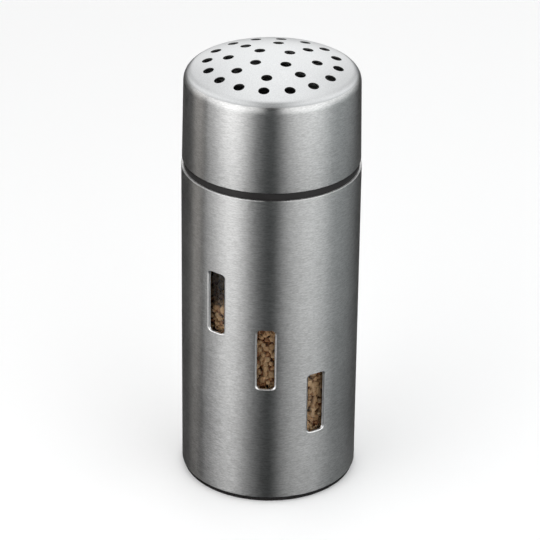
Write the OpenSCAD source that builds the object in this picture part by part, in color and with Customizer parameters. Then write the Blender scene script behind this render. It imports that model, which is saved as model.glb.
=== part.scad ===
// Spice shaker: a glass jar in a brushed steel sleeve with three windows,
// closed by a domed steel screw cap with three rings of sprinkling holes.
// Millimetres. The origin is the centre of the foot, +Z is up and -Y is the front.

/* [Sleeve] */
// Outer radius of the steel sleeve
sleeve_r = 25; // [24.9:0.1:25.1]
// Height of the sleeve's lower edge above the table
sleeve_low = 1.4; // [1:0.1:1.4]
// Height of the sleeve's upper edge above the table
sleeve_high = 94.95; // [94:0.05:95.5]
// Thickness of the sleeve's sheet steel
sleeve_t = 0.6; // [0.5:0.05:0.6]
// Rounding of the sleeve's outer edges
sleeve_edge_r = 0.25; // [0.1:0.05:0.3]

/* [Windows] */
// Width of one window's clear opening
window_w = 4.8; // [4:0.1:7]
// Height of one window's clear opening
window_h = 18.4; // [12:0.2:21]
// Corner radius of the clear opening
window_corner_r = 0.6; // [0.3:0.1:2]
// Number of windows, in a diagonal row down to the right
window_count = 3; // [1:1:4]
// Height of the middle of the row
window_mid_z = 45.9; // [40:0.1:50]
// Drop from one window to the next
window_drop = 15.3; // [10:0.1:16]
// Turn of the middle of the row from the front, in degrees
window_turn = -2.2; // [-20:0.1:20]
// Turn from one window to the next, in degrees
window_step = 34.25; // [25:0.25:40]

/* [Jar] */
// Outer radius of the glass jar
jar_r = 23.9; // [23.5:0.1:24]
// Thickness of the glass wall
glass_t = 2; // [1.5:0.1:2.4]
// Height of the jar's underside above the table
jar_low = 4; // [4:0.1:4.2]
// Thickness of the jar's floor
jar_floor_t = 3; // [2:0.5:4]
// Rounding of the jar's heel
heel_r = 3.5; // [3.5:0.1:4]
// Height where the shoulder begins to turn in
shoulder_z = 84.1; // [83:0.1:84.5]
// Outer radius of the neck
neck_r = 19; // [19:0.1:19.1]
// Inner radius of the mouth
mouth_r = 16.5; // [16:0.1:17]
// Height of the mouth's rim above the table
mouth_z = 105; // [104.8:0.1:105]

/* [Screw thread] */
// Lift of the cap in one turn
pitch = 4; // [3.6:0.1:4.2]
// Turns of thread on the neck and in the cap
thread_turns = 1.25; // [1:0.05:1.3]
// Radius over the neck's thread
neck_thread_r = 20.4; // [20:0.1:20.5]
// Radius of the smooth bore that the thread runs in
insert_bore_r = 20.75; // [20.75:0.05:21]
// Radius inside the cap's thread
insert_thread_r = 19.35; // [19.35:0.05:19.5]
// Height of the middle of the neck's thread where it starts
thread_z = 98.2; // [98:0.1:98.4]
// Width of a thread at its foot
thread_root_w = 1.6; // [1.2:0.1:1.7]
// Width of a thread at its crest
thread_crest_w = 0.8; // [0.5:0.1:0.9]

/* [Collar and base] */
// Radius of the plastic collar that closes the sleeve's mouth
collar_r = 24.35; // [24.2:0.05:24.35]
// Height of the collar's top above the table
collar_high = 97; // [96.5:0.1:97]
// Radius of the black foot
foot_r = 24.5; // [24.5:0.1:24.9]
// Radius of the hollow under the foot
foot_hollow_r = 20; // [15:0.5:21]
// Depth of the hollow under the foot
foot_hollow_h = 0.8; // [0.5:0.1:1]
// Top of the base's floor, where the pad lies
base_floor_z = 3; // [2.8:0.1:3]
// Top of the base's thin wall around the jar's heel
base_wall_z = 5.4; // [4.5:0.1:5.4]

/* [Cap] */
// Outer radius of the cap at its lower edge
cap_r = 24.8; // [24.75:0.05:24.95]
// Thickness of the cap's sheet steel
cap_t = 0.4; // [0.35:0.05:0.5]
// Outer radius of the cap where the shoulder starts
cap_top_r = 24.35; // [24.2:0.05:24.5]
// Height of the cap's lower edge above the table
cap_low = 97.1; // [97.1:0.05:97.3]
// Height of the top of the dome above the table
cap_high = 126.6; // [125:0.1:128]
// Radius of the rounding between the wall and the dome
cap_shoulder_r = 3.5; // [2:0.1:4]
// Radius of the dome
dome_r = 71; // [65:0.5:90]
// Height of the lid insert's lower edge above the table
insert_low = 97.3; // [97.3:0.05:97.5]
// Thickness of the insert's walls
insert_t = 1.6; // [1.2:0.1:1.8]
// Thickness of the sealing ring
seal_t = 1.25; // [1:0.05:1.5]
// Outer radius of the sealing ring
seal_r = 19.2; // [18.5:0.1:19.2]

/* [Holes] */
// Radius of one sprinkling hole
hole_r = 1.5; // [1:0.05:1.8]
// Radius of the inner ring of holes
inner_ring_r = 5.85; // [5:0.05:6.5]
// Radius of the middle ring of holes
middle_ring_r = 12.2; // [11.5:0.1:12.5]
// Radius of the outer ring of holes
outer_ring_r = 18; // [17:0.1:18.5]
// Turn of the inner ring from the front, in degrees
inner_ring_turn = -52.5; // [-90:0.1:90]
// Turn of the two outer rings from the front, in degrees
outer_rings_turn = -7.3; // [-90:0.1:90]
// Holes in the innermost ring, doubled from ring to ring
inner_hole_count = 4; // [3:1:4]

/* [Contents] */
// Height of the spice's surface above the table at the glass
fill_z = 58.5; // [20:0.5:80]
// Rise of the spice's surface towards the middle
heap_h = 1.5; // [0.5:0.5:4]

/* [Hidden] */
$fn = 120;
eps = 0.01;
fit_gap = 0.05;

bore_r = sleeve_r - sleeve_t;
jar_in_r = jar_r - glass_t;
jar_floor_z = jar_low + jar_floor_t;
jar_floor_corner_r = 2;
shoulder_r = jar_r - neck_r;
rim_r = (neck_r - mouth_r) / 2;

thread_steps_per_turn = 36;
thread_runout_steps = 4;
thread_sunk = 0.5;
insert_thread_angle = 225;
insert_thread_z = thread_z - pitch / 2 + pitch * insert_thread_angle / 360;

collar_wall = 1.2;
collar_roof_t = 1.8;
collar_skirt_low = 87.2;
collar_inner_low = 89.4;
collar_bore_r = neck_r + 0.3;

base_plug_r = bore_r - 0.1;
base_wall_r = 23.45;
pad_r = 20;

shoulder_centre_r = cap_top_r - cap_shoulder_r;
dome_centre_z = cap_high - dome_r;
tangent_r = dome_r - cap_shoulder_r;
shoulder_centre_z = dome_centre_z + sqrt(tangent_r * tangent_r - shoulder_centre_r * shoulder_centre_r);

seal_low = mouth_z + fit_gap;
flange_low = seal_low + seal_t + fit_gap;
flange_high = flange_low + insert_t;
insert_skirt_r = insert_bore_r + insert_t;
insert_rim_t = 1.2;

ring_radii = [inner_ring_r, middle_ring_r, outer_ring_r];
ring_turns = [inner_ring_turn, outer_rings_turn, outer_rings_turn];

// Outer radius of the cap at a height, on its slightly tapered wall.
function cap_wall_r(z) = cap_r + (cap_top_r - cap_r) * (z - cap_low) / (shoulder_centre_z - cap_low);

// One ring of a thread's cross-section, at step i of n.
function thread_ring(sunk_r, crest_r, z_start, angle_start, i, n) =
    let (angle = angle_start + 360 * i / thread_steps_per_turn,
         z = z_start + pitch * i / thread_steps_per_turn,
         grown = min(1, (min(i, n - i) + 1) / thread_runout_steps),
         top_r = sunk_r + (crest_r - sunk_r) * grown)
    [for (p = [[sunk_r, -thread_root_w / 2], [top_r, -thread_crest_w / 2],
               [top_r, thread_crest_w / 2], [sunk_r, thread_root_w / 2]])
        [p[0] * cos(angle), p[0] * sin(angle), z + p[1]]];

// A right-hand thread ridge, swept along its helix and sunk a little into its wall.
module thread_ridge(sunk_r, crest_r, z_start, angle_start) {
    n = round(thread_turns * thread_steps_per_turn);
    points = [for (i = [0:n]) each thread_ring(sunk_r, crest_r, z_start, angle_start, i, n)];
    sides = [for (i = [0:n - 1], k = [0:3])
                let (a = 4 * i + k, b = 4 * i + (k + 1) % 4)
                each [[a, b, b + 4], [a, b + 4, a + 4]]];
    ends = [[3, 2, 1, 0], [4 * n, 4 * n + 1, 4 * n + 2, 4 * n + 3]];
    faces = concat(sides, ends);
    outward = crest_r > sunk_r;
    polyhedron(points, outward ? faces : [for (f = faces) [for (k = [len(f) - 1:-1:0]) f[k]]]);
}

// A plain ring standing on a height.
module ring(outer_r, inner_r, z_low, z_high) {
    translate([0, 0, z_low])
        difference() {
            cylinder(h = z_high - z_low, r = outer_r);
            translate([0, 0, -1])
                cylinder(h = z_high - z_low + 2, r = inner_r);
        }
}

// A window's cutter, pointing out through the sleeve's wall, with round corners.
module window_cutter() {
    depth = 6;
    flat_w = window_w - 2 * window_corner_r;
    flat_h = window_h - 2 * window_corner_r;
    cube([window_w, depth, flat_h], center = true);
    cube([flat_w, depth, window_h], center = true);
    for (x = [-1, 1], z = [-1, 1])
        translate([x * flat_w / 2, 0, z * flat_h / 2])
            rotate([90, 0, 0])
                cylinder(h = depth, r = window_corner_r, center = true);
}

module steel_sleeve() {
    first = -(window_count - 1) / 2;
    color("silver")
        difference() {
            rotate_extrude() {
                translate([bore_r, sleeve_low + sleeve_edge_r])
                    square([sleeve_t, sleeve_high - sleeve_low - 2 * sleeve_edge_r]);
                translate([bore_r, sleeve_low])
                    square([sleeve_t - sleeve_edge_r, sleeve_high - sleeve_low]);
                for (z = [sleeve_low + sleeve_edge_r, sleeve_high - sleeve_edge_r])
                    translate([sleeve_r - sleeve_edge_r, z])
                        circle(sleeve_edge_r);
            }
            for (i = [0:window_count - 1])
                rotate([0, 0, window_turn + window_step * (first + i)])
                    translate([0, -sleeve_r, window_mid_z - window_drop * (first + i)])
                        window_cutter();
        }
}

// The jar's outline without its hollow: heel, wall, shoulder and neck.
module jar_outline() {
    translate([0, jar_low])
        square([jar_r - heel_r, shoulder_z - jar_low]);
    translate([0, jar_low + heel_r])
        square([jar_r, shoulder_z - jar_low - heel_r]);
    translate([jar_r - heel_r, jar_low + heel_r])
        circle(heel_r);
    intersection() {
        translate([neck_r, shoulder_z])
            circle(shoulder_r);
        translate([0, shoulder_z - 1])
            square([jar_r, shoulder_r + 1]);
    }
    translate([0, shoulder_z])
        square([neck_r, mouth_z - rim_r - shoulder_z]);
    translate([neck_r - rim_r, mouth_z - rim_r])
        circle(rim_r);
}

// The jar's hollow, open at the mouth and rounded at its floor and under its shoulder.
module jar_hollow() {
    corner = jar_floor_corner_r;
    translate([0, jar_floor_z])
        square([jar_in_r - corner, shoulder_z - jar_floor_z]);
    translate([0, jar_floor_z + corner])
        square([jar_in_r, shoulder_z - jar_floor_z - corner]);
    translate([jar_in_r - corner, jar_floor_z + corner])
        circle(corner);
    intersection() {
        translate([neck_r, shoulder_z])
            circle(shoulder_r - glass_t);
        translate([0, shoulder_z - 1])
            square([jar_r, shoulder_r + 1]);
    }
    translate([0, shoulder_z - eps])
        square([neck_r, shoulder_r - glass_t + eps]);
    translate([0, shoulder_z])
        square([mouth_r, mouth_z - shoulder_z + 1]);
}

module glass_jar() {
    color([0.85, 0.92, 0.9, 0.4]) {
        rotate_extrude()
            difference() {
                jar_outline();
                jar_hollow();
            }
        thread_ridge(neck_r - thread_sunk, neck_thread_r, thread_z, 0);
    }
}

// A black ring that fills the space between the jar's neck and the sleeve's mouth.
module neck_collar() {
    roof_z = collar_high - collar_roof_t;
    color([0.06, 0.06, 0.06]) {
        ring(collar_r, collar_bore_r, roof_z, collar_high);
        ring(collar_r, collar_r - collar_wall, collar_skirt_low, collar_high);
        ring(collar_bore_r + collar_wall, collar_bore_r, collar_inner_low, collar_high);
    }
}

// The plug that closes the sleeve's lower end, with the foot that shows below it.
module base_cup() {
    color([0.05, 0.05, 0.05])
        difference() {
            union() {
                cylinder(h = sleeve_low - fit_gap, r = foot_r);
                cylinder(h = base_wall_z, r = base_plug_r);
            }
            translate([0, 0, base_floor_z])
                cylinder(h = base_wall_z, r = base_wall_r);
            translate([0, 0, -1])
                cylinder(h = foot_hollow_h + 1, r = foot_hollow_r);
        }
}

// A soft disc that takes up the play under the jar.
module jar_pad() {
    color([0.3, 0.3, 0.3])
        translate([0, 0, base_floor_z])
            cylinder(h = jar_low - base_floor_z, r = pad_r);
}

module spice_fill() {
    corner = jar_floor_corner_r;
    low = jar_floor_z + fit_gap;
    side_r = jar_in_r - 2 * fit_gap;
    heap_r = side_r / 3;
    color([0.5, 0.4, 0.28])
        rotate_extrude() {
            translate([0, low])
                square([side_r - corner, fill_z - low]);
            translate([0, low + corner])
                square([side_r, fill_z - low - corner]);
            translate([side_r - corner, low + corner])
                circle(corner);
            polygon([[0, fill_z - 1], [side_r, fill_z - 1], [side_r, fill_z],
                     [heap_r, fill_z + heap_h], [0, fill_z + heap_h]]);
        }
}

// Half of the cap's outline, moved in by the given amount: wall, shoulder and dome.
module cap_outline(inset, low) {
    corner_r = cap_shoulder_r - inset;
    top_r = dome_r - inset;
    touch = [shoulder_centre_r, shoulder_centre_z - dome_centre_z] * top_r / tangent_r;
    touch_z = dome_centre_z + touch[1];
    polygon([[0, low], [cap_wall_r(low) - inset, low], [cap_top_r - inset, shoulder_centre_z],
             [shoulder_centre_r, shoulder_centre_z], [touch[0], touch_z], [0, touch_z]]);
    intersection() {
        translate([shoulder_centre_r, shoulder_centre_z])
            circle(corner_r);
        translate([shoulder_centre_r, shoulder_centre_z])
            square(corner_r + 1);
    }
    intersection() {
        translate([0, dome_centre_z])
            circle(top_r, $fn = 720);
        translate([0, touch_z - eps])
            square([touch[0], top_r]);
    }
}

module cap_shell() {
    color("gainsboro")
        difference() {
            rotate_extrude()
                difference() {
                    cap_outline(0, cap_low);
                    cap_outline(cap_t, cap_low - 1);
                }
            for (i = [0:len(ring_radii) - 1]) {
                count = inner_hole_count * pow(2, i);
                for (k = [0:count - 1])
                    rotate([0, 0, ring_turns[i] + 360 * k / count])
                        translate([0, -ring_radii[i], shoulder_centre_z - 1])
                            cylinder(h = cap_high, r = hole_r, $fn = 32);
            }
        }
}

// A tapered disc that fits the inside of the cap's wall between two heights.
module cap_filling(z_low, z_high) {
    gap = cap_t + fit_gap;
    translate([0, 0, z_low])
        cylinder(h = z_high - z_low, r1 = cap_wall_r(z_low) - gap, r2 = cap_wall_r(z_high) - gap);
}

// The threaded plastic lining of the cap: a skirt around the neck and an outer wall that hang
// from a flange, with a channel between them that is open below.
module cap_insert() {
    color([0.07, 0.07, 0.07])
        difference() {
            union() {
                difference() {
                    cap_filling(insert_low, flange_high);
                    translate([0, 0, insert_low - 1])
                        cylinder(h = flange_low - insert_low + 1, r = insert_bore_r);
                    ring(cap_wall_r(flange_low) - cap_t - insert_rim_t, insert_skirt_r,
                         insert_low - 1, flange_low);
                }
                thread_ridge(insert_bore_r + thread_sunk, insert_thread_r, insert_thread_z,
                             insert_thread_angle);
            }
            translate([0, 0, flange_low - 1])
                cylinder(h = insert_t + 2, r = mouth_r);
        }
}

module cap_seal() {
    color([0.85, 0.85, 0.82])
        ring(seal_r, mouth_r, seal_low, seal_low + seal_t);
}

steel_sleeve();
glass_jar();
neck_collar();
base_cup();
jar_pad();
spice_fill();
cap_shell();
cap_insert();
cap_seal();
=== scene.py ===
"""A steel spice shaker: its finished pieces, their materials, and a plain studio around it.

Lengths are in metres, in the part's own frame: the origin is the centre of the foot, +Z is up and the
row of windows faces -Y. Heights and radii come from the part's own boxes wherever it has them.
"""

import math
import random

import bpy
from mathutils import Euler, Matrix, Vector, noise


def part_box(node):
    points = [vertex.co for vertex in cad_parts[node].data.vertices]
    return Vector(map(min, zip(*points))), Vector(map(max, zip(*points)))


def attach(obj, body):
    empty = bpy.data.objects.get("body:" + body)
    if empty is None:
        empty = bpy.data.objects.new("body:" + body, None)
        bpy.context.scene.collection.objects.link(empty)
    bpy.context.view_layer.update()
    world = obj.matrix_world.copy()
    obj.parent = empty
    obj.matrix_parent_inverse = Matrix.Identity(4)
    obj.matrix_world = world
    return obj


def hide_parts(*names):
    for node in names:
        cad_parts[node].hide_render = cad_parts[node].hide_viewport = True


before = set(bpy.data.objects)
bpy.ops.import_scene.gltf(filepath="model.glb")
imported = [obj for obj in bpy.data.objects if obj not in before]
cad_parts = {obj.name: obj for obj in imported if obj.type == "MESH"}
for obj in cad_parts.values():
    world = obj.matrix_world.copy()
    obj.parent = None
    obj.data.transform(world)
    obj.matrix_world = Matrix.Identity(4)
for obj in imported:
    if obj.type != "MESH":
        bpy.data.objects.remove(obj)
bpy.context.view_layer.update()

MM = 0.001
ROOT = "jar_and_sleeve"
SEAL = "seal"
CAP = "cap"


def reach(node):
    """A round node's outer radius, its lowest and its highest level."""
    low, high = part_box(node)
    return (high.x - low.x) / 2, low.z, high.z


SLEEVE_R, SLEEVE_LOW, SLEEVE_HIGH = reach("steel_sleeve")
JAR_R, JAR_LOW, MOUTH_Z = reach("glass_jar")
COLLAR_R, COLLAR_SKIRT_LOW, COLLAR_HIGH = reach("neck_collar")
FOOT_R, FOOT_LOW, BASE_WALL_Z = reach("base_cup")
PAD_R, PAD_LOW, PAD_HIGH = reach("jar_pad")
SPICE_R, SPICE_LOW, SPICE_HIGH = reach("spice_fill")
CAP_R, CAP_LOW, CAP_HIGH = reach("cap_shell")
_, INSERT_LOW, INSERT_HIGH = reach("cap_insert")
SEAL_R, SEAL_LOW, SEAL_HIGH = reach("cap_seal")

# The sheet steel, and the gap between parts that are pushed together
SLEEVE_T = 0.6 * MM
CAP_T = 0.4 * MM
FIT_GAP = 0.05 * MM
SLEEVE_EDGE_R = 0.18 * MM

# The windows: each lies a step further round and a drop lower than the one to its left
WINDOW_W = 4.8 * MM
WINDOW_H = 18.4 * MM
WINDOW_CORNER_R = 1 * MM
WINDOW_RIM_R = 0.8 * MM
WINDOW_END_RIM = 0.3 * MM
WINDOW_MID_Z = 45.9 * MM
WINDOW_DROP = 15.3 * MM
WINDOW_TURN = math.radians(-2.2)
WINDOW_STEP = math.radians(34.25)
WINDOWS = [(WINDOW_TURN + WINDOW_STEP * i, WINDOW_MID_Z - WINDOW_DROP * i) for i in (-1, 0, 1)]

# The jar
GLASS_T = 2 * MM
JAR_FLOOR_T = 3 * MM
HEEL_R = 3.5 * MM
SHOULDER_Z = 84.1 * MM
NECK_R = 19 * MM
MOUTH_R = 16.5 * MM
FLOOR_CORNER_R = 2 * MM

# The screw thread on the neck and the one in the cap's lining
PITCH = 4 * MM
THREAD_TURNS = 1.25
NECK_THREAD_R = 20.4 * MM
INSERT_BORE_R = 20.75 * MM
INSERT_THREAD_R = 19.35 * MM
THREAD_Z = 98.2 * MM
THREAD_ROOT_W = 1.6 * MM
THREAD_CREST_W = 0.8 * MM
THREAD_SUNK = 0.5 * MM
INSERT_THREAD_TURN = math.radians(225)
INSERT_THREAD_Z = THREAD_Z - PITCH / 2 + PITCH * INSERT_THREAD_TURN / math.tau

# The cap: its wall, the shoulder that rounds it into the dome, and where the satin finish ends
CAP_TOP_R = 24.35 * MM
CAP_SHOULDER_R = 3.5 * MM
DOME_R = 71 * MM
SATIN_R = 23.7 * MM
SHOULDER_CENTRE_R = CAP_TOP_R - CAP_SHOULDER_R
DOME_CENTRE_Z = CAP_HIGH - DOME_R
SHOULDER_CENTRE_Z = DOME_CENTRE_Z + math.sqrt((DOME_R - CAP_SHOULDER_R) ** 2 - SHOULDER_CENTRE_R**2)

# The holes, in rings: how many, how far from the axis, and the first one's turn in degrees
HOLE_R = 1.5 * MM
HOLE_EDGE_R = 0.05 * MM
HOLE_RINGS = [(4, 5.85 * MM, -52.5), (8, 12.2 * MM, -7.3), (16, 18 * MM, -7.3)]

# The spice: a middling grain's length, width and height, how close two grains may lie, the height
# of the heap and the radius of the mass behind the grains
GRAIN_SIZE = (1.8 * MM, 1.5 * MM, 1.25 * MM)
GRAIN_GAP = 1.3 * MM
HEAP_H = 1.5 * MM
CORE_R = 20.1 * MM

# Flat faces round each turned piece
LATHE_STEPS = 256
SLEEVE_STEPS = 384
CORE_STEPS = 160
PAD_STEPS = 96
PUNCH_STEPS = 48

# Points closer together than this are merged
SAME_POINT = 0.002 * MM

chance = random.Random(11)


# ---------------------------------------------------------------- modelling by hand


def only(piece):
    """Makes the piece the one that is selected and active."""
    bpy.ops.object.select_all(action="DESELECT")
    piece.select_set(True)
    bpy.context.view_layer.objects.active = piece


def finish_with(piece, kind, **settings):
    """Adds one modifier to the piece and applies it."""
    only(piece)
    bpy.ops.object.modifier_add(type=kind)
    modifier = piece.modifiers[-1]
    for name, value in settings.items():
        setattr(modifier, name, value)
    bpy.ops.object.modifier_apply(modifier=modifier.name)


def smooth(piece, degrees=35):
    """Shades the piece smooth, and keeps its edges sharp where faces meet at more than the angle."""
    only(piece)
    bpy.ops.object.shade_smooth_by_angle(angle=math.radians(degrees))


def off_axis(point):
    """How far a point lies from the shaker's axis."""
    return math.hypot(point.x, point.y)


def arc(centre_r, centre_z, radius, start, end, steps):
    """Points of an arc in a half section, from one angle to the other, in degrees from the +r side."""
    turns = [math.radians(start + (end - start) * i / steps) for i in range(steps + 1)]
    return [(centre_r + radius * math.cos(a), centre_z + radius * math.sin(a)) for a in turns]


def draw(name, outline):
    """Draws a closed outline by pulling one vertex from point to point, and stays in edit mode."""
    bpy.ops.object.select_all(action="DESELECT")
    bpy.ops.mesh.primitive_plane_add(size=MM)
    piece = bpy.context.active_object
    piece.name = name
    bpy.ops.object.mode_set(mode="EDIT")
    bpy.ops.mesh.select_all(action="SELECT")
    bpy.ops.mesh.merge(type="CENTER")
    bpy.ops.transform.translate(value=(outline[0][0], 0, outline[0][1]))
    for (x, z), (next_x, next_z) in zip(outline, outline[1:] + outline[:1]):
        bpy.ops.mesh.extrude_vertices_move(
            TRANSFORM_OT_translate={"value": (next_x - x, 0, next_z - z)}
        )
    bpy.ops.mesh.select_all(action="SELECT")
    bpy.ops.mesh.remove_doubles(threshold=SAME_POINT)
    return piece


def lathe(name, outline, steps=LATHE_STEPS):
    """Draws a closed half section and spins it round the axis."""
    piece = draw(name, outline)
    bpy.ops.mesh.spin(steps=steps, angle=math.tau, center=(0, 0, 0), axis=(0, 0, 1))
    bpy.ops.mesh.select_all(action="SELECT")
    bpy.ops.mesh.remove_doubles(threshold=SAME_POINT)
    bpy.ops.mesh.normals_make_consistent(inside=False)
    bpy.ops.object.mode_set(mode="OBJECT")
    return piece


def copies(original, places):
    """Copies a piece to each place, joins the copies into one mesh and removes the original."""
    made = []
    for place in places:
        only(original)
        bpy.ops.object.duplicate()
        copy = bpy.context.active_object
        copy.data.transform(place)
        made.append(copy)
    bpy.data.objects.remove(original)
    for copy in made:
        copy.select_set(True)
    bpy.context.view_layer.objects.active = made[0]
    bpy.ops.object.join()
    return made[0]


def cut(piece, cutter):
    """Cuts the cutter's shape out of the piece and removes the cutter."""
    finish_with(piece, "BOOLEAN", operation="DIFFERENCE", solver="EXACT", object=cutter)
    bpy.data.objects.remove(cutter)


def weld(piece, other):
    """Joins another solid to the piece, so that the two are one closed solid."""
    finish_with(piece, "BOOLEAN", operation="UNION", solver="EXACT", object=other)
    bpy.data.objects.remove(other)


def true_normals(piece, normal_at):
    """Shades the piece by its exact surface, at each face corner for which one is known."""
    mesh = piece.data
    normals = [(0, 0, 0)] * len(mesh.loops)
    for face in mesh.polygons:
        for corner in face.loop_indices:
            known = normal_at(face, mesh.vertices[mesh.loops[corner].vertex_index].co)
            if known:
                normals[corner] = known.normalized()
    mesh.normals_split_custom_set(normals)


def facing(turn, radius, z):
    """A place on a cylinder round the axis, turned from the front, with its -Y side outwards."""
    return Matrix.Rotation(turn, 4, "Z") @ Matrix.Translation((0, -radius, z))


# ---------------------------------------------------------------- materials


class Paint:
    """Builds one procedural material on a Principled shader."""

    def __init__(self, name, **settings):
        self.material = bpy.data.materials.new(name)
        self.material.use_nodes = True
        self.tree = self.material.node_tree
        self.shader = self.tree.nodes["Principled BSDF"]
        self.place = self.node("ShaderNodeTexCoord").outputs["Object"]
        for socket, value in settings.items():
            self.set(socket.replace("_", " "), value)

    def node(self, kind, **settings):
        """Adds a node with the given settings."""
        made = self.tree.nodes.new(kind)
        for name, value in settings.items():
            setattr(made, name, value)
        return made

    def link(self, source, target):
        """Joins one socket to another."""
        self.tree.links.new(source, target)

    def set(self, socket, value):
        """Gives one of the shader's sockets a pattern, a colour or a number."""
        target = self.shader.inputs[socket]
        if isinstance(value, bpy.types.NodeSocket):
            self.link(value, target)
        elif isinstance(value, tuple) and len(value) == 3 and len(target.default_value) == 4:
            target.default_value = (*value, 1)
        else:
            target.default_value = value

    def noise(self, scale, stretch=(1, 1, 1), detail=2.0):
        """Noise over the piece's own coordinates, in cells a metre, times the stretch on each axis."""
        mapping = self.node("ShaderNodeMapping")
        mapping.inputs["Scale"].default_value = stretch
        self.link(self.place, mapping.inputs["Vector"])
        texture = self.node("ShaderNodeTexNoise")
        texture.inputs["Scale"].default_value = scale
        texture.inputs["Detail"].default_value = detail
        texture.inputs["Roughness"].default_value = 0.55
        self.link(mapping.outputs["Vector"], texture.inputs["Vector"])
        return texture.outputs["Fac"]

    def spread(self, source, low, high, start=0.3, end=0.7):
        """Maps a pattern's values between start and end to values between low and high."""
        mapped = self.node("ShaderNodeMapRange")
        for socket, value in zip(("From Min", "From Max", "To Min", "To Max"), (start, end, low, high)):
            mapped.inputs[socket].default_value = value
        self.link(source, mapped.inputs["Value"])
        return mapped.outputs["Result"]

    def colours(self, source, *stops):
        """A colour ramp of (position, (red, green, blue)) stops."""
        ramp = self.node("ShaderNodeValToRGB")
        elements = ramp.color_ramp.elements
        while len(elements) < len(stops):
            elements.new(0.5)
        for element, (position, colour) in zip(elements, stops):
            element.position = position
            element.color = (*colour, 1)
        self.link(source, ramp.inputs["Fac"])
        return ramp.outputs["Color"]

    def both(self, first, second, operation="ADD"):
        """Joins two patterns with one sum or product."""
        joined = self.node("ShaderNodeMath", operation=operation)
        self.link(first, joined.inputs[0])
        self.link(second, joined.inputs[1])
        return joined.outputs["Value"]

    def bump(self, height, distance, strength):
        """Raises the surface by a pattern, by a distance in metres."""
        bump = self.node("ShaderNodeBump")
        bump.inputs["Strength"].default_value = strength
        bump.inputs["Distance"].default_value = distance
        self.link(height, bump.inputs["Height"])
        self.set("Normal", bump.outputs["Normal"])


def brushed_steel(name, dark, light, rough):
    """Sheet steel brushed around the axis: long fine streaks that differ in tone and gloss."""
    paint = Paint(name, Metallic=1.0, Anisotropic=0.95, Anisotropic_Rotation=0.25)
    tangent = paint.node("ShaderNodeTangent", direction_type="RADIAL", axis="Z")
    paint.set("Tangent", tangent.outputs["Tangent"])
    streaks = paint.noise(1.0, stretch=(500, 500, 4000))
    hairs = paint.noise(1.0, stretch=(1500, 1500, 6500), detail=1.0)
    clouds = paint.noise(55.0)
    grain = paint.both(streaks, hairs)
    tone = paint.spread(grain, 0, 1, start=0.8, end=1.2)
    paint.set("Base Color", paint.colours(tone, (0, dark), (1, light)))
    even = paint.spread(clouds, rough - 0.015, rough + 0.015)
    paint.set("Roughness", paint.both(paint.spread(grain, -0.03, 0.03, start=0.75, end=1.25), even))
    paint.bump(grain, 0.003 * MM, 0.25)
    return paint.material


def satin_steel(name, dark, light, rough, edge_r):
    """The dome's finish: fine, even and without a direction, with painted shade along its round edge."""
    fade_w = 0.5 * MM
    crease_shade_tone = 0.72
    paint = Paint(name, Metallic=1.0)
    speckle = paint.noise(3800.0)
    clouds = paint.noise(90.0, detail=1.0)
    across = paint.node("ShaderNodeVectorMath", operation="MULTIPLY")
    across.inputs[1].default_value = (1, 1, 0)
    paint.link(paint.place, across.inputs[0])
    radius = paint.node("ShaderNodeVectorMath", operation="LENGTH")
    paint.link(across.outputs["Vector"], radius.inputs[0])
    # The tone falls to a darker colour at the satin's round edge: painted shade for the crease there.
    inside = paint.spread(radius.outputs["Value"], 1, 0, start=edge_r - fade_w, end=edge_r)
    tone = paint.both(paint.spread(speckle, 0.5, 1), inside, "MULTIPLY")
    darker = tuple(crease_shade_tone * part for part in dark)
    paint.set("Base Color", paint.colours(tone, (0, darker), (0.5, dark), (1, light)))
    fine = paint.spread(speckle, -0.03, 0.03)
    paint.set("Roughness", paint.both(fine, paint.spread(clouds, rough - 0.02, rough + 0.02)))
    paint.bump(speckle, 0.006 * MM, 0.3)
    return paint.material


def cut_edge(name, dark, light, rough):
    """Bare metal where the sheet is punched or trimmed, and inside the sleeve, with painted highlight or
    shade in its tones.
    """
    paint = Paint(name, Metallic=1.0)
    scratches = paint.noise(2600.0)
    paint.set("Base Color", paint.colours(scratches, (0.3, dark), (0.7, light)))
    paint.set("Roughness", paint.spread(scratches, rough - 0.07, rough + 0.07))
    return paint.material


def moulded_plastic(name, colour, rough):
    """Injection-moulded plastic with a faint, fine texture."""
    paint = Paint(name, Specular_IOR_Level=0.22)
    grain = paint.noise(2400.0)
    clouds = paint.noise(90.0)
    lighter = tuple(1.35 * part + 0.004 for part in colour)
    paint.set("Base Color", paint.colours(clouds, (0.3, colour), (0.7, lighter)))
    paint.set("Roughness", paint.spread(grain, rough - 0.06, rough + 0.06))
    paint.bump(grain, 0.01 * MM, 0.35)
    return paint.material


def soft_rubber(name, colour, rough):
    """A soft seal or foam: dull, with small pores."""
    paint = Paint(name)
    pores = paint.noise(1500.0, detail=4.0)
    darker = tuple(0.7 * part for part in colour)
    paint.set("Base Color", paint.colours(pores, (0.35, darker), (0.6, colour)))
    paint.set("Roughness", paint.spread(pores, rough - 0.08, rough + 0.08))
    paint.bump(pores, 0.03 * MM, 0.5)
    return paint.material


def clear_glass(name):
    """Pressed soda glass, faintly green, with a slight waviness in its surface."""
    # The near-black specular tint damps most of the glass's reflections: painted shade on the glass.
    paint = Paint(name, Transmission_Weight=1.0, IOR=1.5, Specular_Tint=(0.03, 0.02, 0.015))
    waves = paint.noise(160.0, detail=1.0)
    paint.set("Base Color", paint.colours(waves, (0.3, (0.93, 0.965, 0.95)), (0.7, (0.96, 0.985, 0.975))))
    paint.set("Roughness", paint.spread(waves, 0.0, 0.03))
    paint.bump(waves, 0.02 * MM, 0.1)
    return paint.material


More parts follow.
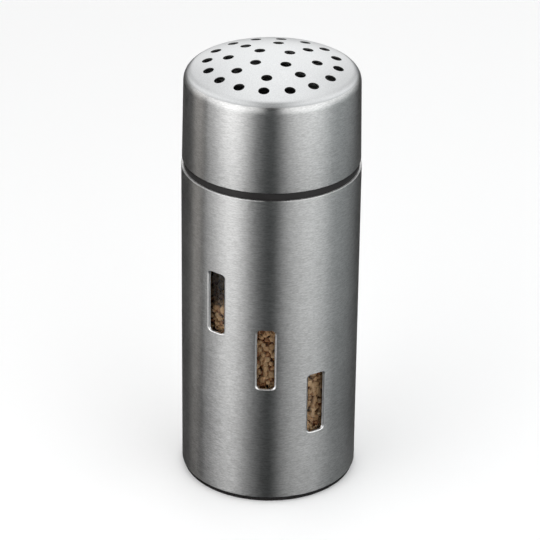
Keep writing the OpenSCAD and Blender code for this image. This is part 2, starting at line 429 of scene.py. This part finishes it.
def spice_grains(name):
    """Coarse ground spice: each grain has its own tone, and each is a little mottled."""
    paint = Paint(name, Specular_IOR_Level=0.15)
    tone = paint.node("ShaderNodeAttribute", attribute_name="tone").outputs["Fac"]
    mottle = paint.noise(1900.0, detail=3.0)
    mixed = paint.both(tone, paint.spread(mottle, -0.16, 0.16))
    # The darkest browns are painted shade: the mass behind the grains and the grains behind the first layer
    # take them.
    browns = [
        (0.0, (0.05, 0.022, 0.01)),
        (0.14, (0.29, 0.12, 0.055)),
        (0.3, (0.43, 0.24, 0.125)),
        (0.8, (0.56, 0.35, 0.2)),
        (1.0, (0.67, 0.46, 0.29)),
    ]
    paint.set("Base Color", paint.colours(mixed, *browns))
    paint.set("Roughness", paint.spread(mottle, 0.55, 0.8))
    paint.bump(mottle, 0.08 * MM, 0.6)
    return paint.material


def pale_floor(name):
    """A plain pale studio floor."""
    paint = Paint(name)
    haze = paint.noise(2.0, detail=1.0)
    paint.set("Base Color", paint.colours(haze, (0.3, (0.93, 0.93, 0.93)), (0.7, (0.95, 0.95, 0.95))))
    paint.set("Roughness", paint.spread(haze, 0.8, 0.9))
    return paint.material


SLEEVE_STEEL = brushed_steel("brushed_sleeve_steel", (0.5, 0.5, 0.495), (0.68, 0.68, 0.675), 0.32)
CAP_STEEL = brushed_steel("brushed_cap_steel", (0.52, 0.52, 0.515), (0.7, 0.7, 0.695), 0.32)
# The dome's steel darkens along its edge: painted shade for the crease above the shoulder.
DOME_STEEL = satin_steel("satin_dome_steel", (0.59, 0.6, 0.605), (0.73, 0.74, 0.745), 0.36, SATIN_R)
# The rims' steel is lighter than the sleeve's: a painted highlight on the polished rims.
HIGHLIGHTED_RIM_STEEL = cut_edge("polished_rim_painted_highlight", (0.72, 0.72, 0.715), (0.86, 0.86, 0.855), 0.36)
# The hole walls' steel is near black: painted shade inside the holes.
SHADED_HOLE_WALL = cut_edge("painted_shade_hole_wall", (0.07, 0.07, 0.07), (0.14, 0.14, 0.135), 0.6)
# Inside the sleeve the steel is darker and brown: spice dust, and painted shade in the dim inside.
INNER_STEEL = cut_edge("dusty_shaded_inner_steel", (0.22, 0.12, 0.07), (0.34, 0.2, 0.12), 0.5)
BLACK_PLASTIC = moulded_plastic("black_moulded_plastic", (0.012, 0.011, 0.011), 0.42)
SEAL_RUBBER = soft_rubber("pale_seal_rubber", (0.74, 0.73, 0.68), 0.5)
PAD_FOAM = soft_rubber("grey_pad_foam", (0.12, 0.12, 0.12), 0.85)
JAR_GLASS = clear_glass("clear_jar_glass")
SPICE = spice_grains("coarse_spice")


def dress(piece, body, slot, *materials, replaced=()):
    """Gives a finished piece its materials and its body, and hides the nodes it stands for. Its slot is not
    used.
    """
    piece.data.materials.clear()
    for material in materials:
        piece.data.materials.append(material)
    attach(piece, body)
    if replaced:
        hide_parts(*replaced)


def paint_faces(piece, index, test):
    """Gives the faces that pass the test another of the piece's materials."""
    for face in piece.data.polygons:
        if test(face):
            face.material_index = index


# ---------------------------------------------------------------- the sleeve


def window_punch():
    """A punch as wide and high as a window, flared to the rounded rim, which is narrower at its ends.

    It starts outside the sleeve, begins to narrow just proud of the surface and goes through the wall.
    """
    rim_steps = 8
    corner_steps = 10
    top_steps = 12
    outside = 1 * MM
    proud = 0.004 * MM
    through = 3 * MM
    corner = WINDOW_CORNER_R + WINDOW_RIM_R
    flat_x = WINDOW_W / 2 - WINDOW_CORNER_R
    flat_z = WINDOW_H / 2 - WINDOW_CORNER_R
    along_top = [(flat_x * (1 - 2 * i / top_steps), flat_z + corner) for i in range(1, top_steps)]
    outline = arc(flat_x, flat_z, corner, 0, 90, corner_steps) + along_top
    outline += arc(-flat_x, flat_z, corner, 90, 180, corner_steps)
    outline += arc(-flat_x, -flat_z, corner, 180, 270, corner_steps)
    outline += [(-x, -z) for x, z in along_top] + arc(flat_x, -flat_z, corner, 270, 360, corner_steps)
    punch = draw("window_punch", outline)
    bpy.ops.mesh.edge_face_add()
    punch.update_from_editmode()
    if punch.data.polygons[0].normal.y < 0:
        bpy.ops.mesh.flip_normals()
    bpy.ops.mesh.extrude_region_move(TRANSFORM_OT_translate={"value": (0, outside - proud, 0)})
    turns = [math.pi / 2 * i / rim_steps for i in range(rim_steps + 1)]
    for turn, next_turn in zip(turns, turns[1:]):
        inwards = WINDOW_RIM_R * (math.sin(next_turn) - math.sin(turn))
        deeper = WINDOW_RIM_R * (math.cos(turn) - math.cos(next_turn))
        bpy.ops.mesh.inset(thickness=inwards, depth=deeper)
    bpy.ops.mesh.extrude_region_move(TRANSFORM_OT_translate={"value": (0, through, 0)})
    bpy.ops.mesh.select_all(action="SELECT")
    bpy.ops.mesh.normals_make_consistent(inside=False)
    bpy.ops.object.mode_set(mode="OBJECT")
    for vertex in punch.data.vertices:
        deep = min(1, max(0, (vertex.co.y - outside + proud) / WINDOW_RIM_R))
        flare = 1 - math.sqrt(1 - (1 - deep) ** 2)
        past_flat = abs(vertex.co.z) - flat_z
        if past_flat > 0:
            narrowed = WINDOW_CORNER_R + WINDOW_END_RIM * flare
            past_flat *= narrowed / (WINDOW_CORNER_R + WINDOW_RIM_R * flare)
            vertex.co.z = math.copysign(flat_z + past_flat, vertex.co.z)
        vertex.co.y += SLEEVE_R - math.sqrt(SLEEVE_R**2 - vertex.co.x**2) - outside
    return punch


def make_sleeve():
    """The brushed tube, polished rims lightened as painted highlight, and a dusty inside in painted shade.
    """
    bore = SLEEVE_R - SLEEVE_T
    edge = SLEEVE_R - SLEEVE_EDGE_R
    wall_low = SLEEVE_LOW + SLEEVE_EDGE_R
    wall_high = SLEEVE_HIGH - SLEEVE_EDGE_R
    bands = 24
    margin = 0.003 * MM
    outline = [(bore, SLEEVE_HIGH), (bore, SLEEVE_LOW)]
    outline += arc(edge, wall_low, SLEEVE_EDGE_R, -90, 0, 5)
    outline += [(SLEEVE_R, wall_low + (wall_high - wall_low) * i / bands) for i in range(1, bands)]
    outline += arc(edge, wall_high, SLEEVE_EDGE_R, 0, 90, 5)
    sleeve = lathe("sleeve", outline, SLEEVE_STEPS)
    cut(sleeve, copies(window_punch(), [facing(turn, SLEEVE_R, z) for turn, z in WINDOWS]))
    smooth(sleeve)
    dress(sleeve, ROOT, "brushed_body", SLEEVE_STEEL, HIGHLIGHTED_RIM_STEEL, INNER_STEEL, replaced=["steel_sleeve"])

    def between_ends(face):
        return wall_low < face.center.z < wall_high

    def at_window(face):
        return between_ends(face) and off_axis(face.center) < SLEEVE_R - margin

    def wall_normal(face, point):
        on_wall = between_ends(face) and off_axis(face.center) > SLEEVE_R - margin
        return Vector((point.x, point.y, 0)) if on_wall else None

    # The window rims get the lighter steel, a painted highlight.
    paint_faces(sleeve, 1, at_window)
    # The inside gets the darker brown steel: spice dust and painted shade.
    paint_faces(sleeve, 2, lambda face: off_axis(face.center) < bore + margin)
    true_normals(sleeve, wall_normal)


# ---------------------------------------------------------------- the jar, the collar and the base


def thread_ridge(root_r, crest_r, z_start, start_turn):
    """Screws a thread's section round the axis, closes it and lets its crest fade out at both ends."""
    steps_a_turn = 48
    fade_turns = 0.11
    end_share = 0.25
    bpy.ops.object.select_all(action="DESELECT")
    bpy.ops.mesh.primitive_plane_add(size=MM)
    ridge = bpy.context.active_object
    corners = [
        (root_r, -THREAD_ROOT_W / 2),
        (crest_r, -THREAD_CREST_W / 2),
        (crest_r, THREAD_CREST_W / 2),
        (root_r, THREAD_ROOT_W / 2),
    ]
    for index, (r, z) in zip(list(ridge.data.polygons[0].vertices), corners):
        ridge.data.vertices[index].co = (r, 0, z)
    bpy.ops.object.mode_set(mode="EDIT")
    bpy.ops.mesh.select_all(action="SELECT")
    bpy.ops.mesh.delete(type="ONLY_FACE")
    bpy.ops.object.mode_set(mode="OBJECT")
    steps = round(steps_a_turn * THREAD_TURNS)
    finish_with(
        ridge,
        "SCREW",
        axis="Z",
        angle=math.tau * THREAD_TURNS,
        screw_offset=PITCH * THREAD_TURNS,
        steps=steps,
        render_steps=steps,
        use_smooth_shade=False,
    )
    middle_r = (root_r + crest_r) / 2
    for vertex in ridge.data.vertices:
        r = off_axis(vertex.co)
        turns = math.atan2(vertex.co.y, vertex.co.x) % math.tau / math.tau
        turns += round(vertex.co.z / PITCH - turns)
        if (r > middle_r) == (crest_r > root_r):
            from_end = min(turns, THREAD_TURNS - turns)
            share = min(1, (from_end + end_share * fade_turns) / fade_turns)
            faded_r = root_r + (crest_r - root_r) * share
            vertex.co.x *= faded_r / r
            vertex.co.y *= faded_r / r
    bpy.ops.object.mode_set(mode="EDIT")
    bpy.ops.mesh.select_all(action="SELECT")
    bpy.ops.mesh.fill_holes(sides=4)
    bpy.ops.mesh.select_all(action="SELECT")
    bpy.ops.mesh.normals_make_consistent(inside=False)
    bpy.ops.object.mode_set(mode="OBJECT")
    ridge.data.transform(Matrix.Translation((0, 0, z_start)) @ Matrix.Rotation(start_turn, 4, "Z"))
    return ridge


def make_jar():
    """The pressed jar: a hollowed underside, a round heel and shoulder, and a threaded neck."""
    inner = JAR_R - GLASS_T
    shoulder = JAR_R - NECK_R
    neck_low = SHOULDER_Z + shoulder
    rim = (NECK_R - MOUTH_R) / 2
    floor = JAR_LOW + JAR_FLOOR_T
    underside = [(0, 0.6 * MM), (10 * MM, 0.4 * MM), (17 * MM, 0)]
    neck_fillet = 0.5 * MM
    inner_fillet = 0.8 * MM
    outline = [(0, floor)] + [(r, JAR_LOW + hollow) for r, hollow in underside]
    outline += arc(JAR_R - HEEL_R, JAR_LOW + HEEL_R, HEEL_R, -90, 0, 10)
    outline += arc(NECK_R, SHOULDER_Z, shoulder, 0, 84, 14)
    outline += arc(NECK_R + neck_fillet, neck_low + neck_fillet, neck_fillet, 270, 180, 4)
    outline += arc(NECK_R - rim, MOUTH_Z - rim, rim, 0, 180, 16)
    outline += arc(MOUTH_R + inner_fillet, neck_low - GLASS_T + inner_fillet, inner_fillet, 180, 270, 5)
    outline += arc(NECK_R, SHOULDER_Z, shoulder - GLASS_T, 90, 0, 12)
    outline += arc(inner - FLOOR_CORNER_R, floor + FLOOR_CORNER_R, FLOOR_CORNER_R, 0, -90, 8)
    jar = lathe("jar", outline)
    weld(jar, thread_ridge(NECK_R - THREAD_SUNK, NECK_THREAD_R, THREAD_Z, 0))
    smooth(jar, degrees=50)
    dress(jar, ROOT, "clear_glass", JAR_GLASS, replaced=["glass_jar"])


def make_collar():
    """The black ring round the neck, under the cap, with a skirt inside the sleeve."""
    wall = 1.2 * MM
    roof = 1.8 * MM
    neck_gap = 0.3 * MM
    bore = NECK_R + neck_gap
    edge = 0.25 * MM
    inner_low = 89.4 * MM
    outline = [(bore, inner_low), (bore + wall, inner_low), (bore + wall, COLLAR_HIGH - roof)]
    outline += [(COLLAR_R - wall, COLLAR_HIGH - roof), (COLLAR_R - wall, COLLAR_SKIRT_LOW)]
    outline += [(COLLAR_R, COLLAR_SKIRT_LOW)]
    outline += arc(COLLAR_R - edge, COLLAR_HIGH - edge, edge, 0, 90, 5)
    outline += arc(bore + edge, COLLAR_HIGH - edge, edge, 90, 180, 5)
    collar = lathe("collar", outline)
    smooth(collar)
    dress(collar, ROOT, "black_plastic", BLACK_PLASTIC, replaced=["neck_collar"])


def make_base():
    """The black plug in the sleeve's lower end, with the jar's seat above and the foot below."""
    plug = 24.3 * MM
    heel_wall = 23.45 * MM
    edge = 0.3 * MM
    hollow_r = 20 * MM
    hollow_h = 0.8 * MM
    outline = [(0, PAD_LOW), (0, hollow_h), (hollow_r - hollow_h, hollow_h), (hollow_r, FOOT_LOW)]
    outline += arc(FOOT_R - edge, FOOT_LOW + edge, edge, -90, 0, 5)
    outline += [(FOOT_R, SLEEVE_LOW - FIT_GAP), (plug, SLEEVE_LOW - FIT_GAP)]
    outline += [(plug, BASE_WALL_Z), (heel_wall, BASE_WALL_Z), (heel_wall, PAD_LOW)]
    base = lathe("base", outline)
    smooth(base)
    dress(base, ROOT, "black_plastic", BLACK_PLASTIC, replaced=["base_cup"])


def make_pad():
    """The foam disc between the jar and the base."""
    edge = 0.2 * MM
    outline = [(0, PAD_HIGH), (0, PAD_LOW)]
    outline += arc(PAD_R - edge, PAD_LOW + edge, edge, -90, 0, 3)
    outline += arc(PAD_R - edge, PAD_HIGH - edge, edge, 0, 90, 3)
    pad = lathe("pad", outline, PAD_STEPS)
    smooth(pad)
    dress(pad, ROOT, "grey_foam", PAD_FOAM, replaced=["jar_pad"])


# ---------------------------------------------------------------- the spice


def grain_shapes(count):
    """Irregular rounded lumps, about one unit across, each a cube subdivided and pushed about."""
    cube_side = 0.72
    shapes = []
    for _ in range(count):
        bpy.ops.object.select_all(action="DESELECT")
        bpy.ops.mesh.primitive_cube_add(size=cube_side)
        shape = bpy.context.active_object
        bpy.ops.object.mode_set(mode="EDIT")
        bpy.ops.mesh.select_all(action="SELECT")
        bpy.ops.mesh.subdivide(number_cuts=1, smoothness=1)
        bpy.ops.object.mode_set(mode="OBJECT")
        for vertex in shape.data.vertices:
            vertex.co *= chance.uniform(0.8, 1.16)
        shapes.append(shape)
    return shapes


def spots(count, width, height):
    """Random places in a rectangle, none closer together than a grain's gap."""
    found = []
    for _ in range(count):
        spot = Vector((chance.uniform(-width / 2, width / 2), chance.uniform(-height / 2, height / 2)))
        if all((spot - other).length > GRAIN_GAP for other in found):
            found.append(spot)
    return found


def tumbled(point):
    """A place for one grain: turned at random, and a little larger or smaller than the others."""
    turn = Euler([chance.uniform(0, math.tau) for _ in range(3)]).to_matrix().to_4x4()
    size = chance.uniform(0.85, 1.25)
    return Matrix.Translation(point) @ turn @ Matrix.Diagonal((*(size * side for side in GRAIN_SIZE), 1))


def grain_tone(layer):
    """Most grains are tan and some reddish brown. The ones behind the first layer get darker tones: painted
    shade.
    """
    tan_share = 0.85
    reddish = 0.16
    if layer == 0:
        return chance.uniform(0.3, 0.9) if chance.random() < tan_share else reddish
    # Grains behind the first layer take dark tones: painted shade for lying in the first layer's shade.
    return chance.uniform(0.03, reddish)


def scatter(name, shapes, places):
    """Joins a copy of some shape at each place, kept off the glass, with the tone given for it."""
    points, faces, tones = [], [], []
    for place, tone in places:
        shape = chance.choice(shapes).data
        first = len(points)
        for vertex in shape.vertices:
            point = place @ vertex.co
            shrink = min(1, SPICE_R / off_axis(point))
            points.append((point.x * shrink, point.y * shrink, point.z))
            tones.append(tone)
        faces += [[first + index for index in face.vertices] for face in shape.polygons]
    mesh = bpy.data.meshes.new(name)
    mesh.from_pydata(points, [], faces)
    mesh.attributes.new("tone", "FLOAT", "POINT").data.foreach_set("value", tones)
    grains = bpy.data.objects.new(name, mesh)
    bpy.context.scene.collection.objects.link(grains)
    smooth(grains, degrees=60)
    dress(grains, ROOT, "spice", SPICE)


def make_spice_core():
    """The mass of spice behind the outermost grains, with an uneven surface; its darkest brown is painted
    shade.
    """
    corner = 3 * MM
    top = SPICE_HIGH - 2.4 * MM
    low = SPICE_LOW + 0.4 * MM
    rise = 0.6 * MM
    floor_bands, side_bands, top_bands = 16, 60, 24
    lump = 0.9 * MM
    unevenness = 0.012
    side_h = top - low - corner
    outline = [(CORE_R * i / floor_bands, low) for i in range(floor_bands)]
    outline += arc(CORE_R - corner, low + corner, corner, -90, 0, 6)[1:-1]
    outline += [(CORE_R, low + corner + side_h * i / side_bands) for i in range(side_bands + 1)]
    outline += [(CORE_R * (1 - i / top_bands), top + rise * i / top_bands) for i in range(1, top_bands + 1)]
    core = lathe("spice_core", outline, CORE_STEPS)
    for vertex in core.data.vertices:
        vertex.co *= 1 + unevenness * noise.noise(vertex.co / lump)
    smooth(core, degrees=60)
    # The core's tone stays at zero, the darkest brown in the ramp: painted shade for the gaps between
    # grains.
    core.data.attributes.new("tone", "FLOAT", "POINT")
    dress(core, ROOT, "spice", SPICE, replaced=["spice_fill"])


def grains_behind(turn, z):
    """Two layers of grains against the glass behind one window, and a little past its edges."""
    patch_w = 13 * MM
    patch_h = WINDOW_H + 10 * MM
    lowest = SPICE_LOW + 1.5 * MM
    highest = SPICE_HIGH - 2.2 * MM
    tries = 5000
    found = []
    for layer, depth in enumerate((0.7 * MM, 1.65 * MM)):
        layer_r = SPICE_R - depth
        for spot in spots(tries, patch_w, patch_h):
            level = z + spot.y
            if lowest < level < highest:
                point = facing(turn + spot.x / layer_r, layer_r, level).translation
                found.append((tumbled(point), grain_tone(layer)))
    return found


def grains_of_heap():
    """Two layers of grains over the top of the spice, which is heaped in the middle."""
    wall_gap = 0.4 * MM
    tries = 14000
    found = []
    for layer, depth in enumerate((0.5 * MM, 1.3 * MM)):
        for spot in spots(tries, 2 * SPICE_R, 2 * SPICE_R):
            if spot.length < SPICE_R - wall_gap:
                heap = HEAP_H * (1 - min(1, spot.length / SPICE_R))
                point = Vector((spot.x, spot.y, SPICE_HIGH - HEAP_H + heap - depth))
                found.append((tumbled(point), grain_tone(layer)))
    return found


def make_grains():
    """The loose grains that can be seen, behind the windows and from above."""
    shapes = grain_shapes(8)
    behind = [grain for turn, z in WINDOWS for grain in grains_behind(turn, z)]
    scatter("grains_behind_windows", shapes, behind)
    scatter("grains_on_top", shapes, grains_of_heap())
    for shape in shapes:
        bpy.data.objects.remove(shape)


# ---------------------------------------------------------------- the cap


def cap_wall_r(z):
    """Outer radius of the cap's slightly tapered wall at a height."""
    return CAP_R + (CAP_TOP_R - CAP_R) * (z - CAP_LOW) / (SHOULDER_CENTRE_Z - CAP_LOW)


def hole_punch():
    """A round punch that widens where it leaves the dome, so that the hole gets a rounded rim."""
    half = 2 * MM
    rim_r = HOLE_R + HOLE_EDGE_R
    dome_drop = rim_r**2 / (2 * DOME_R)
    outline = [(0, half), (0, -half), (HOLE_R, -half)]
    outline += arc(rim_r, -dome_drop - HOLE_EDGE_R, HOLE_EDGE_R, 180, 96, 5)
    outline += [(outline[-1][0], half)]
    return lathe("hole_punch", outline, PUNCH_STEPS)


def on_dome(radius, turn):
    """A place on the dome with its +Z along the dome's normal."""
    lean = math.asin(radius / DOME_R)
    out = Matrix.Rotation(turn, 4, "Z") @ Matrix.Translation((0, 0, DOME_CENTRE_Z))
    return out @ Matrix.Rotation(lean, 4, "X") @ Matrix.Translation((0, 0, DOME_R))


def cap_section():
    """The cap's half section: up the outside over the dome, and back down the inside."""
    lip = 0.2 * MM
    shoulder_steps = 14
    dome_steps = 26
    shoulder = (SHOULDER_CENTRE_R, SHOULDER_CENTRE_Z)
    meet = 90 - math.degrees(math.asin(SHOULDER_CENTRE_R / (DOME_R - CAP_SHOULDER_R)))
    outside = arc(cap_wall_r(CAP_LOW) - lip, CAP_LOW + lip, lip, -90, 0, 4)
    outside += arc(*shoulder, CAP_SHOULDER_R, 0, meet, shoulder_steps)
    outside += arc(0, DOME_CENTRE_Z, DOME_R, meet, 90, dome_steps)[1:]
    inside = arc(0, DOME_CENTRE_Z, DOME_R - CAP_T, 90, meet, dome_steps)
    inside += arc(*shoulder, CAP_SHOULDER_R - CAP_T, meet, 0, shoulder_steps)[1:]
    inside += [(cap_wall_r(CAP_LOW) - CAP_T, CAP_LOW)]
    return outside + inside


def make_cap():
    """The drawn steel cap: a brushed wall, a satin dome, and punched holes whose walls are painted shade.
    """
    cap = lathe("cap_dome", cap_section())
    places = [
        on_dome(radius, math.radians(start + 360 * i / count))
        for count, radius, start in HOLE_RINGS
        for i in range(count)
    ]
    cut(cap, copies(hole_punch(), places))
    smooth(cap, degrees=30)
    dress(cap, CAP, "satin_cap", CAP_STEEL, DOME_STEEL, SHADED_HOLE_WALL, replaced=["cap_shell"])
    dome_centre = Vector((0, 0, DOME_CENTRE_Z))
    margin = 0.01 * MM
    hole_zone_r = max(radius for _, radius, _ in HOLE_RINGS) + 2 * HOLE_R

    def depth(face):
        return DOME_R - (face.center - dome_centre).length

    def within(face, radius):
        return off_axis(face.center) < radius

    def at_hole(face):
        return within(face, hole_zone_r) and margin < depth(face) < CAP_T - margin

    def dome_normal(face, point):
        outer = within(face, SHOULDER_CENTRE_R) and depth(face) < margin
        return point - dome_centre if outer else None

    paint_faces(cap, 1, lambda face: within(face, SATIN_R))
    # The holes' walls get the near-black steel, painted shade.
    paint_faces(cap, 2, at_hole)
    true_normals(cap, dome_normal)


def make_insert():
    """The cap's threaded lining: a skirt round the neck, a flange, and a wall inside the steel."""
    wall = 1.6 * MM
    rim = 1.2 * MM
    gap = CAP_T + FIT_GAP
    flange_low = INSERT_HIGH - wall
    skirt_r = INSERT_BORE_R + wall
    channel_r = cap_wall_r(flange_low) - CAP_T - rim
    outline = [(INSERT_BORE_R, INSERT_LOW), (skirt_r, INSERT_LOW), (skirt_r, flange_low)]
    outline += [(channel_r, flange_low), (channel_r, INSERT_LOW)]
    outline += [(cap_wall_r(INSERT_LOW) - gap, INSERT_LOW)]
    outline += [(cap_wall_r(INSERT_HIGH) - gap, INSERT_HIGH), (MOUTH_R, INSERT_HIGH)]
    outline += [(MOUTH_R, flange_low), (INSERT_BORE_R, flange_low)]
    insert = lathe("insert", outline)
    ridge = thread_ridge(INSERT_BORE_R + THREAD_SUNK, INSERT_THREAD_R, INSERT_THREAD_Z, INSERT_THREAD_TURN)
    weld(insert, ridge)
    smooth(insert)
    dress(insert, CAP, "black_plastic", BLACK_PLASTIC, replaced=["cap_insert"])


def make_seal():
    """The soft ring that the cap presses on the jar's rim."""
    edge = 0.3 * MM
    outline = arc(SEAL_R - edge, SEAL_LOW + edge, edge, -90, 0, 4)
    outline += arc(SEAL_R - edge, SEAL_HIGH - edge, edge, 0, 90, 4)
    outline += arc(MOUTH_R + edge, SEAL_HIGH - edge, edge, 90, 180, 4)
    outline += arc(MOUTH_R + edge, SEAL_LOW + edge, edge, 180, 270, 4)
    seal = lathe("seal_ring", outline)
    smooth(seal)
    dress(seal, SEAL, "seal_rubber", SEAL_RUBBER, replaced=["cap_seal"])


# ---------------------------------------------------------------- the studio


def make_floor():
    """A wide pale floor, which the steel doesn't mirror and which hides no light from below."""
    bpy.ops.object.select_all(action="DESELECT")
    bpy.ops.mesh.primitive_plane_add(size=8)
    floor = bpy.context.active_object
    floor.name = "studio_floor"
    floor.data.materials.append(pale_floor("pale_studio_floor"))
    floor.visible_glossy = False
    floor.visible_shadow = False


def make_camera():
    """Looks down on the front from a little above, through a long lens."""
    distance = 0.71245
    height = 0.43049
    pitch = math.radians(27.394)
    yaw = math.radians(0.0054)
    roll = math.radians(0.68)
    data = bpy.data.cameras.new("camera")
    data.lens = 189.6
    data.sensor_width = 36
    camera = bpy.data.objects.new("camera", data)
    bpy.context.scene.collection.objects.link(camera)
    forward = Vector((-math.sin(yaw) * math.cos(pitch), math.cos(yaw) * math.cos(pitch), -math.sin(pitch)))
    level = Vector((math.cos(yaw), math.sin(yaw), 0))
    upright = level.cross(forward)
    right = math.cos(roll) * level + math.sin(roll) * upright
    up = math.cos(roll) * upright - math.sin(roll) * level
    turned = Matrix((right, up, -forward)).transposed().to_4x4()
    camera.matrix_world = Matrix.Translation((0, -distance, height)) @ turned
    bpy.context.scene.camera = camera


class Glow:
    """The node tree of a light or of the world, for glows that fade from place to place."""

    def __init__(self, owner):
        owner.use_nodes = True
        self.tree = owner.node_tree

    def node(self, kind, *sources, **settings):
        """Adds a node fed by the sources, and returns its first output."""
        made = self.tree.nodes.new(kind)
        for name, value in settings.items():
            setattr(made, name, value)
        for index, source in enumerate(sources):
            self.tree.links.new(source, made.inputs[index])
        return made.outputs[0]

    def reckon(self, operation, *sources):
        """One sum, product, maximum or size of the sources."""
        return self.node("ShaderNodeMath", *sources, operation=operation)

    def fade(self, source, *limits):
        """Fades smoothly between two values: from low, from high, to low, to high."""
        faded = self.node("ShaderNodeMapRange", source, interpolation_type="SMOOTHSTEP")
        for socket, value in zip(("From Min", "From Max", "To Min", "To Max"), limits):
            faded.node.inputs[socket].default_value = value
        return faded

    def feed(self, node, source):
        """Gives a source to the strength of one of the tree's own nodes."""
        self.tree.links.new(source, self.tree.nodes[node].inputs["Strength"])


def soft_box(name, turn, wide, glow, fades=(0.5, 0.5), tint=(1, 1, 1)):
    """An upright soft box beside the table, turned from the front towards +X.

    Its glow fades over a share of its width towards -X and towards +X. The camera looks down, so
    the upright steel mirrors what lies below the level of the table.
    """
    distance = 0.3
    low, high = -0.1, 0.3
    data = bpy.data.lights.new(name, "AREA")
    data.shape = "RECTANGLE"
    data.size = wide
    data.size_y = high - low
    data.energy = math.pi * wide * (high - low) * glow
    data.color = tint
    light = bpy.data.objects.new(name, data)
    bpy.context.scene.collection.objects.link(light)
    out = Vector((math.sin(math.radians(turn)), -math.cos(math.radians(turn)), 0))
    turned = (-out).to_track_quat("-Z", "Y").to_matrix().to_4x4()
    light.matrix_world = Matrix.Translation(distance * out + Vector((0, 0, (low + high) / 2))) @ turned
    light.visible_camera = False
    fabric = Glow(data)
    across = fabric.tree.nodes.new("ShaderNodeNewGeometry").outputs["Parametric"]
    across = fabric.node("ShaderNodeSeparateXYZ", across)
    from_left = fabric.fade(across, 0, fades[0], 0, 1)
    from_right = fabric.fade(across, 1 - fades[1], 1, 1, 0)
    fabric.feed("Emission", fabric.reckon("MULTIPLY", from_left, from_right))


def make_tent(glow):
    """A white light tent over the table, with the camera's slit from its front to its top.

    The middle of its back is brighter and reaches down below the table's level, and there is a
    dimmer band between the back and each side.
    """
    lowered = 0.15
    brightened = 1.15
    band = 0.6
    world = bpy.data.worlds.new("light_tent")
    tent = Glow(world)
    direction = tent.tree.nodes.new("ShaderNodeTexCoord").outputs["Generated"]
    to_right = tent.node("ShaderNodeSeparateXYZ", direction)
    to_back, up = to_right.node.outputs["Y"], to_right.node.outputs["Z"]
    across = tent.reckon("ABSOLUTE", to_right)
    behind = tent.fade(to_back, 0, 0.35, 0, 1)
    beside_slit = tent.reckon("MAXIMUM", tent.fade(across, 0.06, 0.3, 0, 1), behind)
    back = tent.reckon("MULTIPLY", tent.fade(across, 0.1, 0.35, 1, 0), behind)
    level = tent.reckon("ADD", up, tent.fade(back, 0, 1, 0, lowered))
    above = tent.fade(level, 0, 0.25, 0, glow)
    middle = tent.fade(across, 0.15, 0.4, 1, band)
    sides = tent.fade(across, 0.5, 0.75, band, 1)
    in_front = tent.fade(to_back, 0.4, 0.75, 1, 0)
    beside_bands = tent.reckon("MAXIMUM", tent.reckon("MAXIMUM", middle, sides), in_front)
    strength = tent.reckon("MULTIPLY", above, beside_bands)
    strength = tent.reckon("MULTIPLY", strength, tent.fade(back, 0, 1, 1, brightened))
    tent.feed("Background", tent.reckon("MULTIPLY", strength, beside_slit))
    tent.tree.nodes["Background"].inputs["Color"].default_value = (1, 1, 1, 1)
    bpy.context.scene.world = world


make_sleeve()
make_jar()
make_collar()
make_base()
make_pad()
make_spice_core()
make_grains()
make_cap()
make_insert()
make_seal()

make_floor()
make_camera()
make_tent(1.15)
soft_box("left_box", -47, 0.41, 1.0)
soft_box("left_panel", -54, 0.41, 0.6, fades=(0.06, 0.5))
soft_box("left_strip", -103, 0.14, 0.33, fades=(0.3, 0.3), tint=(1, 0.95, 0.89))
soft_box("front_fill", 0, 0.5, 0.1, fades=(0.3, 0.3), tint=(0.93, 1, 1.02))
soft_box("right_box", 44, 0.57, 0.82)
soft_box("right_fill", 78, 1.19, 0.36, tint=(0.92, 1, 1.02))
bpy.context.scene.view_settings.view_transform = "Standard"
